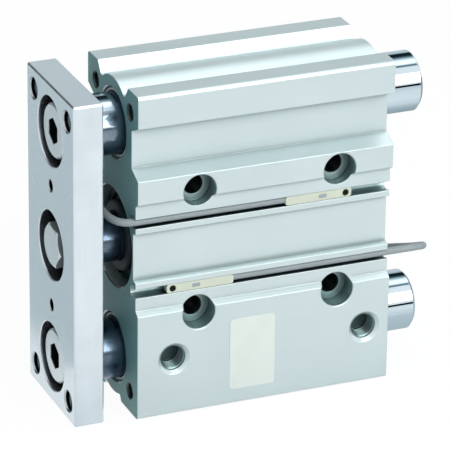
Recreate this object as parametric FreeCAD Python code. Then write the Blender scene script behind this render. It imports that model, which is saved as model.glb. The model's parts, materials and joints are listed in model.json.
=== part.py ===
import FreeCAD, Part
import math
import os
from FreeCAD import Vector

# Compact guided pneumatic cylinder, 32 mm bore and 50 mm stroke, retracted.
# Millimetres. While it is modelled, X runs along the stroke from the body's front face towards the rear,
# Y across the body with the ports at -Y, and Z up from the piston axis. export() then puts every piece
# in the part's frame: the origin is under the middle of the retracted cylinder, at the body's lower face.

# Stroke and bores
stroke = 50.0
dead_length = 37.4
bore_radius = 16.0
rod_radius = 8.0
guide_radius = 10.0
guide_pitch = 78.0

# Clearances
running_clearance = 0.03
seat_clearance = 0.01
seal_clearance = 0.02
stop_clearance = 0.1
thread_clearance = 0.02

# Body outline
body_width = 44.0
end_height = 16.4
boss_drop = 0.9
ear_width = 8.7
notch_floor = 3.8
notch_slope = 2.7
foot_gap = 15.0
foot_notch_depth = 1.9
foot_notch_width = 1.1
corner_radius = 1.2
recess_depth = 5.6
recess_above_guide = 5.9
recess_below_guide = 11.9
recess_slope = 2.6
strip_depth = 2.0
strip_height = 36.0
strip_slope = 1.3
panel_depth = 4.2
panel_height = 15.8
panel_slope = 0.6

# Sensor grooves in the ported side
groove_height = 12.0
groove_width = 3.2
groove_round = 2.1
groove_depth = 2.4

# Bore mouths and covers
seat_step = 0.6
front_seat_depth = 9.5
rear_seat_depth = 7.0
mouth_chamfer = 0.4
front_ring_inset = 4.2
rear_ring_inset = 1.8
ring_thickness = 1.2
ring_groove_depth = 0.6
ring_gap_angle = 40.0
cover_ring_width = 2.6
bearing_ring_width = 0.9
ring_lug_radius = 2.1
ring_hole_radius = 1.0
cover_nose_length = 3.5
cover_air_gap = 3.0
boss_radius = 11.5
boss_inset = 1.0
boss_lip = 2.5
boss_bore_gap = 0.25
seal_length = 3.4
seal_wall = 3.0
gasket_section = 0.9
bumper_thickness = 1.5
bumper_radius = 12.0

# Guide bearings
bearing_wall = 1.5
bearing_length = 24.0
bearing_front_inset = 5.0
bearing_rear_inset = 3.6
bearing_ring_inset = 2.0
wiper_inset = 0.8
wiper_lip_length = 1.6
wiper_gap = 0.5
wiper_running_gap = 0.4

# Side mounting holes, ports and tapped holes
mount_pitch_x = 48.0
mount_pitch_z = 42.0
mount_front = 21.0
mount_hole_radius = 3.35
mount_counterbore_radius = 5.6
mount_counterbore_depth = 6.5
counterbore_break = 0.3
port_front = 12.5
port_rear_inset = 8.4
port_height = 35.8
port_radius = 4.3
port_depth = 8.2
port_chamfer = 1.15
passage_radius = 1.8
passage_run = 9.5
body_tap_radius = 2.5
body_tap_depth = 14.0
tap_chamfer = 0.5
body_tap_pitch_z = 96.0
front_tap_pitch_y = 30.0
rear_tap_pitch_y = 25.0

# Plate
plate_gap = 11.0
plate_thickness = 10.0
plate_width = 42.0
plate_end_drop = 0.65
plate_chamfer = 0.5
plate_tap_radius = 3.4
plate_tap_pitch_y = 30.0
plate_tap_pitch_z = 96.0
dowel_radius = 2.0
dowel_pitch = 41.2
dowel_depth = 6.0
counterbore_radius = 11.5
counterbore_depth = 6.0

# Bolts
guide_bolt_radius = 6.0
guide_bolt_head_radius = 9.0
guide_bolt_head_height = 5.0
guide_bolt_socket = 8.0
guide_bolt_socket_depth = 3.4
guide_bolt_grip = 22.0
rod_bolt_radius = 4.0
rod_bolt_hex = 13.0
rod_bolt_head_height = 5.9
rod_bolt_grip = 18.0
bolt_hole_gap = 0.3
edge_break = 0.6

# Rods and piston
guide_overhang = 16.0
guide_chamfer = 1.0
rod_chamfer = 0.8
piston_gap = 0.1
spigot_radius = 4.5
nut_width = 14.0
nut_thickness = 4.5
seal_groove = 3.0
magnet_groove = 2.8
wear_groove = 2.2
seal_ring_wall = 3.2
magnet_wall = 2.8
wear_wall = 1.5

# Sensors and leads
sensor_length = 22.8
sensor_side_gap = 0.12
sensor_face_inset = 0.1
sensor_corner = 0.7
lower_sensor_x = 10.7
upper_sensor_x = 51.2
sensor_screw_radius = 1.1
sensor_screw_inset = 2.0
sensor_screw_length = 2.4
lead_diameter = 2.5
lead_inset = 1.5
lead_lift = 0.25
coil_turns_across = 2
coil_mid_diameter = 28.0

# Worked out from the above
body_length = stroke + dead_length
guide_z = guide_pitch / 2
half_height = guide_z + end_height
half_width = body_width / 2
outer_boss_radius = end_height - boss_drop
seat_radius = bore_radius + seat_step
bearing_radius = guide_radius + running_clearance + bearing_wall
chamber_front = front_seat_depth + cover_nose_length
chamber_rear = body_length - rear_seat_depth - cover_nose_length
piston_length = chamber_rear - chamber_front - 2 * bumper_thickness - stroke - 2 * stop_clearance
piston_rear = chamber_rear - bumper_thickness - stop_clearance
piston_front = piston_rear - piston_length
piston_land = (piston_length - seal_groove - magnet_groove - wear_groove) / 4
plate_rear = -plate_gap
plate_front = plate_rear - plate_thickness
guide_rear = body_length + guide_overhang
groove_axis_y = half_width - strip_depth - groove_depth
lead_y = half_width - strip_depth - lead_inset
lead_radius = lead_diameter / 2
origin_shift = Vector(-(plate_front + guide_rear) / 2, 0, half_height)


def export(node, shape):
    moved = shape.copy()
    moved.translate(origin_shift)
    moved.exportStep(f"parts/{node}.step")


def rod_x(radius, start, end, y=0.0, z=0.0):
    return Part.makeCylinder(radius, end - start, Vector(start, y, z), Vector(1, 0, 0))


def rod_y(radius, start, end, x, z):
    return Part.makeCylinder(radius, end - start, Vector(x, start, z), Vector(0, 1, 0))


def turned(profile, z=0.0):
    """Solid of revolution about a line along X; profile is a closed list of (x, radius)."""
    points = [Vector(x, 0, z + radius) for x, radius in profile]
    face = Part.Face(Part.makePolygon(points + points[:1]))
    return face.revolve(Vector(0, 0, z), Vector(1, 0, 0), 360)


def ring_x(outer, inner, start, end, z=0.0):
    return turned([(start, inner), (end, inner), (end, outer), (start, outer)], z)


def hexagon_x(across_flats, start, end, z=0.0, turn=0.0):
    corner = across_flats / math.sqrt(3)
    angles = [math.radians(turn + 60 * step) for step in range(7)]
    points = [Vector(start, corner * math.cos(a), z + corner * math.sin(a)) for a in angles]
    return Part.Face(Part.makePolygon(points)).extrude(Vector(end - start, 0, 0))


def outline(corners):
    """Closed face across X through (y, z, radius) corners, with tangent arcs at the rounded ones."""
    points = [Vector(0, y, z) for y, z, _ in corners]
    ends = []
    edges = []
    for index, (_, _, radius) in enumerate(corners):
        here = points[index]
        if radius == 0:
            ends.append((here, here))
            continue
        before = (points[index - 1] - here).normalize()
        after = (points[(index + 1) % len(points)] - here).normalize()
        half_angle = before.getAngle(after) / 2
        reach = radius / math.tan(half_angle)
        middle = here + (before + after).normalize() * (radius / math.sin(half_angle) - radius)
        ends.append((here + before * reach, here + after * reach))
        edges.append(Part.Arc(ends[-1][0], middle, ends[-1][1]).toShape())
    for index, (_, leave) in enumerate(ends):
        arrive = ends[(index + 1) % len(ends)][0]
        edges.append(Part.LineSegment(leave, arrive).toShape())
    return Part.Face(Part.Wire(Part.__sortEdges__(edges)))


def recess(side, guide):
    """Corners of the shallow trough beside a guide rod, from its outer edge inwards."""
    outer_edge = guide_z + recess_above_guide
    inner_edge = guide_z - recess_below_guide
    floor = half_width - recess_depth
    heights = [
        (half_width, outer_edge),
        (floor, outer_edge - recess_slope),
        (floor, inner_edge + recess_slope),
        (half_width, inner_edge),
    ]
    return [(side * y, guide * z, 0) for y, z in heights]


def ported_side():
    """Corners of the -Y side from top to bottom: trough, stepped sensor strip, plain lower face."""
    strip_y = half_width - strip_depth
    panel_y = half_width - panel_depth
    strip_z = strip_height / 2
    panel_z = panel_height / 2
    steps = [
        (half_width, strip_z + strip_slope),
        (strip_y, strip_z),
        (strip_y, panel_z + panel_slope),
        (panel_y, panel_z),
        (panel_y, -panel_z),
        (strip_y, -panel_z - panel_slope),
        (strip_y, -strip_z),
        (half_width, -strip_z - strip_slope),
    ]
    return recess(-1, 1) + [(-y, z, 0) for y, z in steps]


def body_outline():
    ear_inner = half_width - ear_width
    notch_y = ear_inner - notch_slope
    notch_z = half_height - notch_floor
    foot_y = foot_gap / 2
    foot_z = foot_notch_depth - half_height
    top = [
        (half_width, half_height, corner_radius),
        (ear_inner, half_height, 0),
        (notch_y, notch_z, 0),
        (-notch_y, notch_z, 0),
        (-ear_inner, half_height, 0),
        (-half_width, half_height, corner_radius),
    ]
    bottom = [
        (-half_width, -half_height, corner_radius),
        (-foot_y, -half_height, 0),
        (-foot_y + foot_notch_width, foot_z, 0),
        (foot_y - foot_notch_width, foot_z, 0),
        (foot_y, -half_height, 0),
        (half_width, -half_height, corner_radius),
    ]
    plain_side = recess(1, -1) + list(reversed(recess(1, 1)))
    return outline(top + ported_side() + bottom + plain_side)


def sensor_groove(z):
    opening = half_width - groove_axis_y
    slot = Part.makeBox(body_length, opening, groove_width, Vector(0, -half_width, z - groove_width / 2))
    return slot.fuse(rod_x(groove_round, 0, body_length, -groove_axis_y, z))


def bore_cuts():
    rear_seat = body_length - rear_seat_depth
    ring_outer = seat_radius + ring_groove_depth
    front_ring_end = front_ring_inset + ring_thickness
    rear_ring_start = body_length - rear_ring_inset - ring_thickness
    mouth = seat_radius + mouth_chamfer
    return [
        rod_x(bore_radius, 0, body_length),
        rod_x(seat_radius, 0, front_seat_depth),
        rod_x(seat_radius, rear_seat, body_length),
        rod_x(ring_outer, front_ring_inset, front_ring_end),
        rod_x(ring_outer, rear_ring_start, body_length - rear_ring_inset),
        Part.makeCone(mouth, seat_radius, mouth_chamfer, Vector(0, 0, 0), Vector(1, 0, 0)),
        Part.makeCone(mouth, seat_radius, mouth_chamfer, Vector(body_length, 0, 0), Vector(-1, 0, 0)),
    ]


def guide_cuts(z):
    mouth = bearing_radius + mouth_chamfer
    ring_end = body_length - bearing_ring_inset
    ring_outer = bearing_radius + ring_groove_depth
    return [
        rod_x(bearing_radius, 0, body_length, 0, z),
        rod_x(ring_outer, ring_end - ring_thickness, ring_end, 0, z),
        Part.makeCone(mouth, bearing_radius, mouth_chamfer, Vector(0, 0, z), Vector(1, 0, 0)),
        Part.makeCone(mouth, bearing_radius, mouth_chamfer, Vector(body_length, 0, z), Vector(-1, 0, 0)),
    ]


def broken_mouth(radius, corner, direction):
    mouth = radius + counterbore_break
    return Part.makeCone(mouth, radius, counterbore_break, corner, direction)


def mounting_cuts():
    cuts = []
    for x in (mount_front, mount_front + mount_pitch_x):
        for z in (-mount_pitch_z / 2, mount_pitch_z / 2):
            seat = mount_counterbore_depth - half_width
            cuts.append(rod_y(mount_hole_radius, -half_width, half_width, x, z))
            cuts.append(rod_y(mount_counterbore_radius, -half_width, seat, x, z))
            corner = Vector(x, -half_width, z)
            cuts.append(broken_mouth(mount_counterbore_radius, corner, Vector(0, 1, 0)))
    return cuts


def port_cuts(x):
    """Threaded port with a countersunk mouth, and the slanted passage from its floor to the bore."""
    mouth = port_radius + port_chamfer
    entry = Vector(x, -half_width, -port_height)
    floor = port_depth - half_width
    start = Vector(x, floor - passage_radius, port_radius / 2 - port_height)
    finish = Vector(x, -passage_run, -math.sqrt(bore_radius**2 - passage_run**2) + passage_radius)
    along = finish - start
    return [
        rod_y(port_radius, -half_width, floor, x, -port_height),
        Part.makeCone(mouth, port_radius, port_chamfer, entry, Vector(0, 1, 0)),
        Part.makeCylinder(passage_radius, along.Length, start, along),
    ]


def body_tap_cuts():
    """Four tapped holes with countersunk mouths in each end face."""
    cuts = []
    mouth = body_tap_radius + tap_chamfer
    for x, along, pitch_y in ((0, 1, front_tap_pitch_y), (body_length, -1, rear_tap_pitch_y)):
        direction = Vector(along, 0, 0)
        for y in (-pitch_y / 2, pitch_y / 2):
            for z in (-body_tap_pitch_z / 2, body_tap_pitch_z / 2):
                corner = Vector(x, y, z)
                cuts.append(Part.makeCylinder(body_tap_radius, body_tap_depth, corner, direction))
                cuts.append(Part.makeCone(mouth, body_tap_radius, tap_chamfer, corner, direction))
    return cuts


def cylinder_body():
    blank = body_outline().extrude(Vector(body_length, 0, 0))
    for z in (-guide_z, guide_z):
        blank = blank.fuse(rod_x(outer_boss_radius, 0, body_length, 0, z))
    blank = blank.removeSplitter()
    cuts = bore_cuts() + guide_cuts(guide_z) + guide_cuts(-guide_z)
    cuts += mounting_cuts() + body_tap_cuts()
    cuts += port_cuts(port_front) + port_cuts(body_length - port_rear_inset)
    cuts += [sensor_groove(groove_height), sensor_groove(-groove_height)]
    return blank.cut(cuts).removeSplitter()


def gasket_groove(flange_start, flange_end):
    """Start, end and floor radius of the groove that a cover's gasket lies in."""
    middle = (flange_start + flange_end) / 2
    return middle - gasket_section, middle + gasket_section, seat_radius - 2 * gasket_section


def head_cover():
    flange = front_ring_inset + ring_thickness
    nose_radius = bore_radius - seat_clearance
    flange_radius = seat_radius - seat_clearance
    air_radius = bore_radius - cover_air_gap
    groove_start, groove_end, groove_floor = gasket_groove(flange, front_seat_depth)
    lip_end = boss_inset + boss_lip
    lip_radius = rod_radius + boss_bore_gap
    seal_seat = rod_radius + running_clearance + seal_wall
    air_start = chamber_front - cover_nose_length / 2
    return turned([
        (boss_inset, lip_radius),
        (boss_inset, boss_radius - edge_break),
        (boss_inset + edge_break, boss_radius),
        (flange, boss_radius),
        (flange, flange_radius),
        (groove_start, flange_radius),
        (groove_start, groove_floor),
        (groove_end, groove_floor),
        (groove_end, flange_radius),
        (front_seat_depth, flange_radius),
        (front_seat_depth, nose_radius),
        (air_start, nose_radius),
        (air_start, air_radius),
        (chamber_front, air_radius),
        (chamber_front, seal_seat),
        (lip_end, seal_seat),
        (lip_end, lip_radius),
    ])


def rear_cover():
    flange = body_length - rear_ring_inset - ring_thickness
    seat = body_length - rear_seat_depth
    flange_radius = seat_radius - seat_clearance
    air_start = chamber_rear + cover_nose_length / 2
    groove_start, groove_end, groove_floor = gasket_groove(seat, flange)
    return turned([
        (chamber_rear, 0),
        (chamber_rear, bore_radius - cover_air_gap),
        (air_start, bore_radius - cover_air_gap),
        (air_start, bore_radius - seat_clearance),
        (seat, bore_radius - seat_clearance),
        (seat, flange_radius),
        (groove_start, flange_radius),
        (groove_start, groove_floor),
        (groove_end, groove_floor),
        (groove_end, flange_radius),
        (flange, flange_radius),
        (flange, 0),
    ])


def gasket(flange_start, flange_end):
    middle = (flange_start + flange_end) / 2
    major = seat_radius - gasket_section - seal_clearance / 2
    section = gasket_section - seal_clearance
    return Part.makeTorus(major, section, Vector(middle, 0, 0), Vector(1, 0, 0))


def open_ring(start, seat, width, z=0.0):
    """Plain ring in the groove of a bore of the seat radius, open at the bottom."""
    outer = seat + ring_groove_depth - seat_clearance
    ring = ring_x(outer, seat - width, start, start + ring_thickness, z)
    half = math.radians(ring_gap_angle / 2)
    across = 2 * outer * math.sin(half)
    down = z - 2 * outer * math.cos(half)
    corners = [Vector(start, 0, z), Vector(start, -across, down), Vector(start, across, down)]
    wedge = Part.Face(Part.makePolygon(corners + corners[:1])).extrude(Vector(ring_thickness, 0, 0))
    return ring.cut(wedge)


def cover_ring(start):
    """Cover retaining ring: an open ring with a lug with a plier hole at each end."""
    end = start + ring_thickness
    ring = open_ring(start, seat_radius, cover_ring_width)
    middle = seat_radius - ring_lug_radius - seat_clearance
    for side in (-1, 1):
        angle = side * (math.radians(ring_gap_angle / 2) + ring_lug_radius / middle)
        y = middle * math.sin(angle)
        z = -middle * math.cos(angle)
        ring = ring.fuse(rod_x(ring_lug_radius, start, end, y, z))
        ring = ring.cut(rod_x(ring_hole_radius, start, end, y, z))
    return ring.removeSplitter()


def rod_seal():
    inner = rod_radius + running_clearance
    outer = inner + seal_wall - seal_clearance
    start = boss_inset + boss_lip
    lip = seal_wall / 3
    return turned([
        (start, inner + lip),
        (start, outer),
        (start + seal_length, outer),
        (start + seal_length, outer - lip),
        (start + seal_length / 2, outer - 1.5 * lip),
        (start + seal_length, inner + lip / 2),
        (start + seal_length, inner),
        (start + seal_length / 2, inner),
    ])


def rod_bushing():
    inner = rod_radius + running_clearance
    start = boss_inset + boss_lip + seal_length
    return ring_x(inner + seal_wall - seat_clearance, inner, start, chamber_front)


def front_bumper():
    inner = rod_radius + cover_air_gap / 2
    return ring_x(bumper_radius, inner, chamber_front, chamber_front + bumper_thickness)


def rear_bumper():
    """Ring that the piston meets, open in the middle so that the piston nut clears it."""
    inner = nut_width / math.sqrt(3) + seal_wall / 2
    return ring_x(bumper_radius, inner, chamber_rear - bumper_thickness, chamber_rear)


def guide_bearing(start, z):
    inner = guide_radius + running_clearance
    return ring_x(bearing_radius - seat_clearance, inner, start, start + bearing_length, z)


def guide_wiper(z):
    """Stepped ring in the mouth of a guide bore; its narrower lip leaves a thin shadow line round it."""
    inner = guide_radius + wiper_running_gap
    lip = bearing_radius - wiper_gap
    step = wiper_inset + wiper_lip_length
    return turned([
        (wiper_inset, inner),
        (wiper_inset, lip),
        (step, lip),
        (step, bearing_radius - seat_clearance),
        (bearing_front_inset, bearing_radius - seat_clearance),
        (bearing_front_inset, inner),
    ], z)


def end_plate():
    half_plate = half_height - plate_end_drop
    plate = Part.makeBox(
        plate_thickness, plate_width, 2 * half_plate, Vector(plate_front, -plate_width / 2, -half_plate)
    )
    plate = plate.makeChamfer(plate_chamfer, plate.Edges)
    floor = plate_front + counterbore_depth
    cuts = []
    for z, radius in ((-guide_z, guide_bolt_radius), (0, rod_bolt_radius), (guide_z, guide_bolt_radius)):
        cuts.append(rod_x(counterbore_radius, plate_front, floor, 0, z))
        cuts.append(broken_mouth(counterbore_radius, Vector(plate_front, 0, z), Vector(1, 0, 0)))
        cuts.append(rod_x(radius + bolt_hole_gap, plate_front, plate_rear, 0, z))
    mouth = plate_tap_radius + tap_chamfer
    for y in (-plate_tap_pitch_y / 2, plate_tap_pitch_y / 2):
        for z in (-plate_tap_pitch_z / 2, plate_tap_pitch_z / 2):
            cuts.append(rod_x(plate_tap_radius, plate_front, plate_rear, y, z))
            for x, along in ((plate_front, 1), (plate_rear, -1)):
                corner, direction = Vector(x, y, z), Vector(along, 0, 0)
                cuts.append(Part.makeCone(mouth, plate_tap_radius, tap_chamfer, corner, direction))
    for z in (-dowel_pitch / 2, dowel_pitch / 2):
        cuts.append(rod_x(dowel_radius, plate_front, plate_front + dowel_depth, 0, z))
        cuts.append(broken_mouth(dowel_radius, Vector(plate_front, 0, z), Vector(1, 0, 0)))
    return plate.cut(cuts)


def guide_rod(z):
    hole_end = plate_rear + guide_bolt_grip + thread_clearance
    hole = guide_bolt_radius + thread_clearance
    return turned([
        (plate_rear, hole),
        (plate_rear, guide_radius - rod_chamfer),
        (plate_rear + rod_chamfer, guide_radius),
        (guide_rear - guide_chamfer, guide_radius),
        (guide_rear, guide_radius - guide_chamfer),
        (guide_rear, 0),
        (hole_end, 0),
        (hole_end, hole),
    ], z)


def piston_rod():
    """Rod from the plate to the piston, bored for its bolt, with a spigot through the piston."""
    hole_end = plate_rear + rod_bolt_grip + thread_clearance
    hole = rod_bolt_radius + thread_clearance
    return turned([
        (plate_rear, hole),
        (plate_rear, rod_radius - rod_chamfer),
        (plate_rear + rod_chamfer, rod_radius),
        (piston_front, rod_radius),
        (piston_front, spigot_radius),
        (piston_rear, spigot_radius),
        (piston_rear, 0),
        (hole_end, 0),
        (hole_end, hole),
    ])


def piston_grooves():
    """Start and end of the piston's three grooves, front to rear: seal, magnet, wear ring."""
    widths = (seal_groove, magnet_groove, wear_groove)
    starts = []
    x = piston_front + piston_land
    for width in widths:
        starts.append(x)
        x += width + piston_land
    return [(start, start + width) for start, width in zip(starts, widths)]


def piston():
    outer = bore_radius - piston_gap
    nut_seat = piston_rear - nut_thickness
    pocket = nut_width / math.sqrt(3) + seal_wall / 2
    solid = ring_x(outer, spigot_radius + thread_clearance, piston_front, piston_rear)
    solid = solid.cut(rod_x(pocket, nut_seat, piston_rear))
    for (start, end), wall in zip(piston_grooves(), (seal_ring_wall, magnet_wall, wear_wall)):
        solid = solid.cut(ring_x(outer + piston_gap, outer - wall, start, end))
    return solid


def piston_ring(groove, wall, outer):
    start, end = piston_grooves()[groove]
    floor = bore_radius - piston_gap - wall
    return ring_x(outer, floor + seat_clearance, start + seal_clearance, end - seal_clearance)


def piston_nut():
    nut = hexagon_x(nut_width, piston_rear - nut_thickness, piston_rear)
    return nut.cut(rod_x(spigot_radius + thread_clearance, piston_rear - nut_thickness, piston_rear))


def guide_bolt(z):
    """Low-head bolt with a hexagon socket, seated on the floor of its counterbore."""
    seat = plate_front + counterbore_depth
    face = seat - guide_bolt_head_height
    bolt = turned([
        (face, 0),
        (face, guide_bolt_head_radius - edge_break),
        (face + edge_break, guide_bolt_head_radius),
        (seat, guide_bolt_head_radius),
        (seat, guide_bolt_radius),
        (plate_rear + guide_bolt_grip, guide_bolt_radius),
        (plate_rear + guide_bolt_grip, 0),
    ], z)
    return bolt.cut(hexagon_x(guide_bolt_socket, face, face + guide_bolt_socket_depth, z, 30))


def rod_bolt():
    """Hexagon-head bolt in the middle counterbore, its face level with the plate's."""
    seat = plate_front + counterbore_depth
    face = seat - rod_bolt_head_height
    corner = rod_bolt_hex / math.sqrt(3)
    head = hexagon_x(rod_bolt_hex, face, seat, 0, 8)
    bevel = turned([
        (face, 0),
        (face, rod_bolt_hex / 2),
        (face + edge_break, corner),
        (seat, corner),
        (seat, 0),
    ])
    return head.common(bevel).fuse(rod_x(rod_bolt_radius, seat, plate_rear + rod_bolt_grip))


def sensor(start, z, screw_x):
    """Keyhole-section sensor with rounded end corners and a hole for its set screw."""
    neck = groove_width / 2 - sensor_side_gap
    face_y = -(half_width - strip_depth - sensor_face_inset)
    end = start + sensor_length
    stem = Part.makeBox(sensor_length, -groove_axis_y - face_y, 2 * neck, Vector(start, face_y, z - neck))
    corners = [edge for edge in stem.Edges if abs(edge.tangentAt(0).y) > 0.9]
    stem = stem.makeFillet(sensor_corner, corners)
    round_radius = groove_round - sensor_side_gap
    core = rod_x(round_radius, start + sensor_corner, end - sensor_corner, -groove_axis_y, z)
    hole = rod_y(sensor_screw_radius + seat_clearance, face_y, face_y + sensor_screw_length, screw_x, z)
    return stem.fuse(core).cut(hole).removeSplitter()


def sensor_screw(screw_x, z):
    face_y = -(half_width - strip_depth - sensor_face_inset)
    slot = sensor_screw_radius / 2
    screw = rod_y(sensor_screw_radius, face_y + seat_clearance, face_y + sensor_screw_length, screw_x, z)
    cut = Part.makeBox(4 * sensor_screw_radius, slot, slot, Vector(
        screw_x - 2 * sensor_screw_radius, face_y, z - slot / 2))
    return screw.cut(cut)


def lead_tube(name, points):
    """Straight runs joined by tangent arcs, each as large as its two runs allow."""
    edges = []
    leave = points[0]
    radii = []
    for before, here, after in zip(points, points[1:], points[2:]):
        back = before - here
        ahead = after - here
        half_turn = (math.pi - back.getAngle(ahead)) / 2
        reach = 0.45 * min(back.Length, ahead.Length)
        radius = reach / math.tan(half_turn)
        radii.append(round(radius / lead_diameter, 1))
        back.normalize()
        ahead.normalize()
        start = here + back * reach
        finish = here + ahead * reach
        middle = here + (back + ahead).normalize() * (radius / math.cos(half_turn) - radius)
        edges.append(Part.LineSegment(leave, start).toShape())
        edges.append(Part.Arc(start, middle, finish).toShape())
        leave = finish
    edges.append(Part.LineSegment(leave, points[-1]).toShape())
    path = Part.Wire(edges)
    along = (points[1] - points[0]).normalize()
    section = Part.Wire(Part.makeCircle(lead_radius, points[0], along))
    tube = path.makePipeShell([section], True, False)
    wanted = math.pi * lead_radius**2 * path.Length
    print(name, "length", round(path.Length, 1), "radii in diameters", radii,
          "volume ratio", round(tube.Volume / wanted, 4))
    return tube


def lead_coil(x, y):
    """Outer shape of the coiled spare length, lying on the ground."""
    ground = -half_height
    width = coil_turns_across * lead_diameter
    middle = coil_mid_diameter / 2
    corner = 0.3 * width
    inner = middle - width / 2
    outer = middle + width / 2
    corners = [(inner, 0), (outer, 0), (outer, width), (inner, width)]
    rounded = outline([(radius, height, corner) for radius, height in corners])
    solid = rounded.revolve(Vector(0, 0, 0), Vector(0, 0, 1), 360)
    solid.translate(Vector(x, y, ground))
    return solid


def lower_lead_points():
    groove_end = lower_sensor_x + sensor_length
    level = lead_lift - groove_height
    return [Vector(*p) for p in (
        (groove_end, -lead_y, level),
        (103, -lead_y, level),
        (105, -2, -18.7),
        (104, 20, -27.4),
        (99, 42, -41),
        (90, 57, -50.5),
        (78, 64, lead_radius - half_height),
        (64, 64, lead_radius - half_height),
    )]


def upper_lead_points():
    level = groove_height + lead_lift
    return [Vector(*p) for p in (
        (upper_sensor_x, -lead_y, level),
        (-6, -lead_y, level),
        (-6, -1, 12.6),
        (-6.5, 20, 11.6),
        (-2, 37, 1.6),
        (-5, 50, -20.4),
        (-2, 58.5, -43.4),
        (10, 64, lead_radius - half_height),
        (24, 64, lead_radius - half_height),
    )]


def make_parts():
    front_flange = front_ring_inset + ring_thickness
    rear_flange = body_length - rear_ring_inset - ring_thickness
    rear_bearing = body_length - bearing_rear_inset - bearing_length
    bearing_ring = body_length - bearing_ring_inset - ring_thickness
    lower_screw_x = lower_sensor_x + sensor_screw_inset
    upper_screw_x = upper_sensor_x + sensor_length - sensor_screw_inset

    fixed = {
        "cylinder_body": cylinder_body(),
        "head_cover": head_cover(),
        "head_cover_gasket": gasket(front_flange, front_seat_depth),
        "head_retaining_ring": cover_ring(front_ring_inset),
        "rod_seal": rod_seal(),
        "rod_bushing": rod_bushing(),
        "front_bumper": front_bumper(),
        "rear_cover": rear_cover(),
        "rear_cover_gasket": gasket(body_length - rear_seat_depth, rear_flange),
        "rear_retaining_ring": cover_ring(rear_flange),
        "rear_bumper": rear_bumper(),
        "lower_sensor": sensor(lower_sensor_x, -groove_height, lower_screw_x),
        "upper_sensor": sensor(upper_sensor_x, groove_height, upper_screw_x),
        "sensor_screws": Part.makeCompound([
            sensor_screw(lower_screw_x, -groove_height),
            sensor_screw(upper_screw_x, groove_height),
        ]),
        "lower_sensor_lead": lead_tube("lower lead", lower_lead_points()),
        "lower_lead_coil": lead_coil(64, 50),
        "upper_sensor_lead": lead_tube("upper lead", upper_lead_points()),
        "upper_lead_coil": lead_coil(24, 50),
        "bearing_retaining_rings": Part.makeCompound([
            open_ring(bearing_ring, bearing_radius, bearing_ring_width, z) for z in (-guide_z, guide_z)
        ]),
    }
    moving = {
        "end_plate": end_plate(),
        "piston_rod": piston_rod(),
        "piston": piston(),
        "piston_seal": piston_ring(0, seal_ring_wall, bore_radius - running_clearance),
        "magnet_ring": piston_ring(1, magnet_wall, bore_radius - piston_gap),
        "wear_ring": piston_ring(2, wear_wall, bore_radius - running_clearance),
        "piston_nut": piston_nut(),
        "guide_rod_bolts": Part.makeCompound([guide_bolt(-guide_z), guide_bolt(guide_z)]),
        "piston_rod_bolt": rod_bolt(),
    }
    for level, z in (("lower", -guide_z), ("upper", guide_z)):
        moving[f"{level}_guide_rod"] = guide_rod(z)
        fixed[f"{level}_guide_wiper"] = guide_wiper(z)
        fixed[f"{level}_front_bearing"] = guide_bearing(bearing_front_inset, z)
        fixed[f"{level}_rear_bearing"] = guide_bearing(rear_bearing, z)
    return fixed | moving


os.makedirs("parts", exist_ok=True)
for node, shape in make_parts().items():
    export(node, shape)
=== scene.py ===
import json
import math

import bpy
from mathutils import Matrix, Vector


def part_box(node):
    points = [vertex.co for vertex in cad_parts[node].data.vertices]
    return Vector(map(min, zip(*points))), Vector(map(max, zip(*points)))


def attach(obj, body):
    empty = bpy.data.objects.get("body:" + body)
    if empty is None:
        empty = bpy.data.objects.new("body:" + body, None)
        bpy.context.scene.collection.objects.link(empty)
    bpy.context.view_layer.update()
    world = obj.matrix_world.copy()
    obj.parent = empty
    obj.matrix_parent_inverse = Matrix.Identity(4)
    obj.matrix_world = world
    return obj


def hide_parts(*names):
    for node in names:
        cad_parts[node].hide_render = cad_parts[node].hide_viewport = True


# Compact guided cylinder with two groove sensors. Metres; +X runs from the plate to the rear, ports face -Y.

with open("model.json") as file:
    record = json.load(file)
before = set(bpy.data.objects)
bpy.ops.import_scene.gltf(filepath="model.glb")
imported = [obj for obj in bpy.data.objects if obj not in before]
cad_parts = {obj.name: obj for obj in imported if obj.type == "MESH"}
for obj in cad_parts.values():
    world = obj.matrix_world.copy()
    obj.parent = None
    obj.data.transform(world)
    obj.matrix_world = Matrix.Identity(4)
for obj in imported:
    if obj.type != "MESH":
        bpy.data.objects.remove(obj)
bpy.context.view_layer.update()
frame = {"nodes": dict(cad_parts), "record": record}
cad = frame["nodes"]
bpy.ops.object.select_all(action="DESELECT")
mm = 0.001

bodyLow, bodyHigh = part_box("cylinder_body")
rodLow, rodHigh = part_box("lower_guide_rod")
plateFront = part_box("end_plate")[0].x
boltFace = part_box("guide_rod_bolts")[0].x
pistonZ = (bodyLow.z + bodyHigh.z) / 2
guideOffset = pistonZ - (rodLow.z + rodHigh.z) / 2
frontTaps = (15 * mm, 48 * mm)  # across and up from the bore's axis, in the plate and the body's front
rearTaps = (12.5 * mm, 48 * mm)
mounts = {mount["name"]: mount for mount in frame["record"]["mounts"]}
print("frame loaded:", len(cad), "nodes")


# Camera

cameraLook = {
    "place": (-0.4320, -1.0208, 0.5406),
    "azimuth": -22.82,
    "elevation": 23.76,
    "roll": 0.74,
    "lens": 300.2,
    "clip": (0.05, 20),
}


def addCamera(look):
    data = bpy.data.cameras.new("camera")
    data.lens = look["lens"]
    data.clip_start, data.clip_end = look["clip"]
    camera = bpy.data.objects.new("camera", data)
    bpy.context.scene.collection.objects.link(camera)
    turn = Matrix.Rotation(math.radians(look["azimuth"]), 4, "Z")
    tip = Matrix.Rotation(math.radians(90 - look["elevation"]), 4, "X")
    roll = Matrix.Rotation(math.radians(look["roll"]), 4, "Z")
    camera.matrix_world = Matrix.Translation(look["place"]) @ turn @ tip @ roll
    bpy.context.scene.camera = camera


addCamera(cameraLook)
print("camera placed")


# Helpers for materials

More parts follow.
